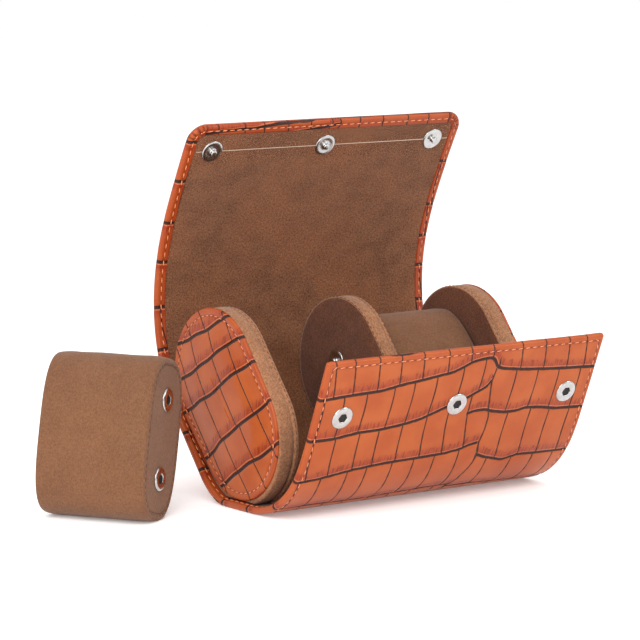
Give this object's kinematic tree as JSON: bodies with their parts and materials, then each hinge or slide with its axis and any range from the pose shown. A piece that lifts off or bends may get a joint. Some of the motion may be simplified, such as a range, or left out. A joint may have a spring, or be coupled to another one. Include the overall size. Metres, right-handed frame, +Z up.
{
  "type": "watch travel case",
  "caption": "Two-slot roll-up watch case: embossed leather wrap with a folding lid and front flap, oval end caps, a divider, snaps and removable suede watch cushions.",
  "frame": {"origin": "on the table under the lower centre of the end caps, at the middle of the case's length", "axes": "+X along the case to its right end, +Y to its back, where the lid rises, +Z up"},
  "size_m": [0.2453, 0.1423, 0.1758],
  "materials": {
    "embossed_leather": "satin",
    "suede_lining": "matte",
    "pale_suede": "matte",
    "stiffener_board": "matte",
    "foam_core": "matte",
    "clear_film": "gloss",
    "nickel": "polished"
  },
  "bodies": {
    "base": {"base_leather": "embossed_leather", "base_board": "stiffener_board", "base_lining": "suede_lining", "left_cap_leather": "embossed_leather", "left_cap_core": "foam_core", "left_cap_gusset": "pale_suede", "left_cap_lining": "suede_lining", "right_cap_leather": "embossed_leather", "right_cap_core": "foam_core", "right_cap_gusset": "pale_suede", "right_cap_lining": "suede_lining", "right_cap_studs": "nickel", "divider_core": "foam_core", "divider_gusset": "pale_suede", "divider_left_face": "suede_lining", "divider_right_face": "suede_lining", "divider_studs": "nickel"},
    "lid_strip_1": {"lid_leather_1": "embossed_leather", "lid_lining_1": "suede_lining"},
    "lid_strip_2": {"lid_leather_2": "embossed_leather", "lid_lining_2": "suede_lining"},
    "lid_strip_3": {"lid_leather_3": "embossed_leather", "lid_lining_3": "suede_lining"},
    "lid_strip_4": {"lid_leather_4": "embossed_leather", "lid_lining_4": "suede_lining"},
    "lid_strip_5": {"lid_leather_5": "embossed_leather", "lid_lining_5": "suede_lining"},
    "lid_strip_6": {"lid_leather_6": "embossed_leather", "lid_lining_6": "suede_lining"},
    "lid_panel": {"lid_panel_leather": "embossed_leather", "lid_panel_board": "stiffener_board", "lid_panel_lining": "suede_lining", "lid_film_strip": "clear_film", "lid_studs": "nickel", "lid_snap_caps": "nickel"},
    "flap_strip_1": {"flap_leather_1": "embossed_leather", "flap_lining_1": "suede_lining"},
    "flap_strip_2": {"flap_leather_2": "embossed_leather", "flap_lining_2": "suede_lining"},
    "flap_strip_3": {"flap_leather_3": "embossed_leather", "flap_lining_3": "suede_lining"},
    "flap_strip_4": {"flap_leather_4": "embossed_leather", "flap_lining_4": "suede_lining"},
    "flap_strip_5": {"flap_leather_5": "embossed_leather", "flap_lining_5": "suede_lining"},
    "flap_panel": {"flap_panel_leather": "embossed_leather", "flap_panel_board": "stiffener_board", "flap_panel_lining": "suede_lining", "flap_sockets": "nickel", "flap_socket_caps": "nickel"},
    "right_cushion": {"right_cushion_sleeve": "pale_suede", "right_cushion_core": "foam_core", "right_cushion_ends": "pale_suede", "right_cushion_sockets": "nickel"},
    "loose_cushion": {"loose_cushion_sleeve": "pale_suede", "loose_cushion_core": "foam_core", "loose_cushion_ends": "pale_suede", "loose_cushion_sockets": "nickel"}
  },
  "joints": [
    {"name": "lid_fold_1", "type": "hinge", "parent": "base", "child": "lid_strip_1", "pos_m": [0, 0.04873, 0.04131], "axis": [1, 0, 0], "range_deg": [-2, 9.65]},
    {"name": "lid_fold_2", "type": "hinge", "parent": "lid_strip_1", "child": "lid_strip_2", "pos_m": [0, 0.05721, 0.05599], "axis": [1, 0, 0], "range_deg": [-2.96, 14.26]},
    {"name": "lid_fold_3", "type": "hinge", "parent": "lid_strip_2", "child": "lid_strip_3", "pos_m": [0, 0.06217, 0.07222], "axis": [1, 0, 0], "range_deg": [-3.46, 16.65]},
    {"name": "lid_fold_4", "type": "hinge", "parent": "lid_strip_3", "child": "lid_strip_4", "pos_m": [0, 0.06365, 0.08912], "axis": [1, 0, 0], "range_deg": [-3.54, 17.05]},
    {"name": "lid_fold_5", "type": "hinge", "parent": "lid_strip_4", "child": "lid_strip_5", "pos_m": [0, 0.06173, 0.10599], "axis": [1, 0, 0], "range_deg": [-3.63, 17.5]},
    {"name": "lid_fold_6", "type": "hinge", "parent": "lid_strip_5", "child": "lid_strip_6", "pos_m": [0, 0.0569, 0.12227], "axis": [1, 0, 0], "range_deg": [-3.85, 18.56]},
    {"name": "lid_fold_7", "type": "hinge", "parent": "lid_strip_6", "child": "lid_panel", "pos_m": [0, 0.05013, 0.13786], "axis": [1, 0, 0], "range_deg": [-3.92, 18.89]},
    {"name": "flap_fold_1", "type": "hinge", "parent": "base", "child": "flap_strip_1", "pos_m": [0, -0.0112, 0.0032], "axis": [-1, 0, 0], "range_deg": [-1, 14.5]},
    {"name": "flap_fold_2", "type": "hinge", "parent": "flap_strip_1", "child": "flap_strip_2", "pos_m": [0, -0.02308, 0.00466], "axis": [-1, 0, 0], "range_deg": [-1.21, 17.41]},
    {"name": "flap_fold_3", "type": "hinge", "parent": "flap_strip_2", "child": "flap_strip_3", "pos_m": [0, -0.03413, 0.00923], "axis": [-1, 0, 0], "range_deg": [-0.15, 2.01]},
    {"name": "flap_fold_4", "type": "hinge", "parent": "flap_strip_3", "child": "flap_strip_4", "pos_m": [0, -0.04335, 0.01684], "axis": [-1, 0, 0], "range_deg": [-0.15, 2.11]},
    {"name": "flap_fold_5", "type": "hinge", "parent": "flap_strip_4", "child": "flap_strip_5", "pos_m": [0, -0.05031, 0.02659], "axis": [-1, 0, 0], "range_deg": [-0.91, 13.01]},
    {"name": "flap_fold_6", "type": "hinge", "parent": "flap_strip_5", "child": "flap_panel", "pos_m": [0, -0.05556, 0.03737], "axis": [-1, 0, 0], "range_deg": [-0.94, 13.51]},
    {"name": "right_cushion_unsnap", "type": "slide", "parent": "base", "child": "right_cushion", "axis": [-1, 0, 0], "range_m": [0, 0.0034]},
    {"name": "loose_cushion_lift", "type": "slide", "parent": "base", "child": "loose_cushion", "axis": [0, 0, 1], "range_m": [0, 0.06]}
  ],
  "couplings": [
    {"joint": "lid_fold_2", "follows": "lid_fold_1", "ratio": 1.4767},
    {"joint": "lid_fold_3", "follows": "lid_fold_1", "ratio": 1.7244},
    {"joint": "lid_fold_4", "follows": "lid_fold_1", "ratio": 1.7658},
    {"joint": "lid_fold_5", "follows": "lid_fold_1", "ratio": 1.8124},
    {"joint": "lid_fold_6", "follows": "lid_fold_1", "ratio": 1.9223},
    {"joint": "lid_fold_7", "follows": "lid_fold_1", "ratio": 1.9565},
    {"joint": "flap_fold_2", "follows": "flap_fold_1", "ratio": 1.2},
    {"joint": "flap_fold_3", "follows": "flap_fold_1", "ratio": 0.1379},
    {"joint": "flap_fold_4", "follows": "flap_fold_1", "ratio": 0.1448},
    {"joint": "flap_fold_5", "follows": "flap_fold_1", "ratio": 0.8966},
    {"joint": "flap_fold_6", "follows": "flap_fold_1", "ratio": 0.931}
  ]
}
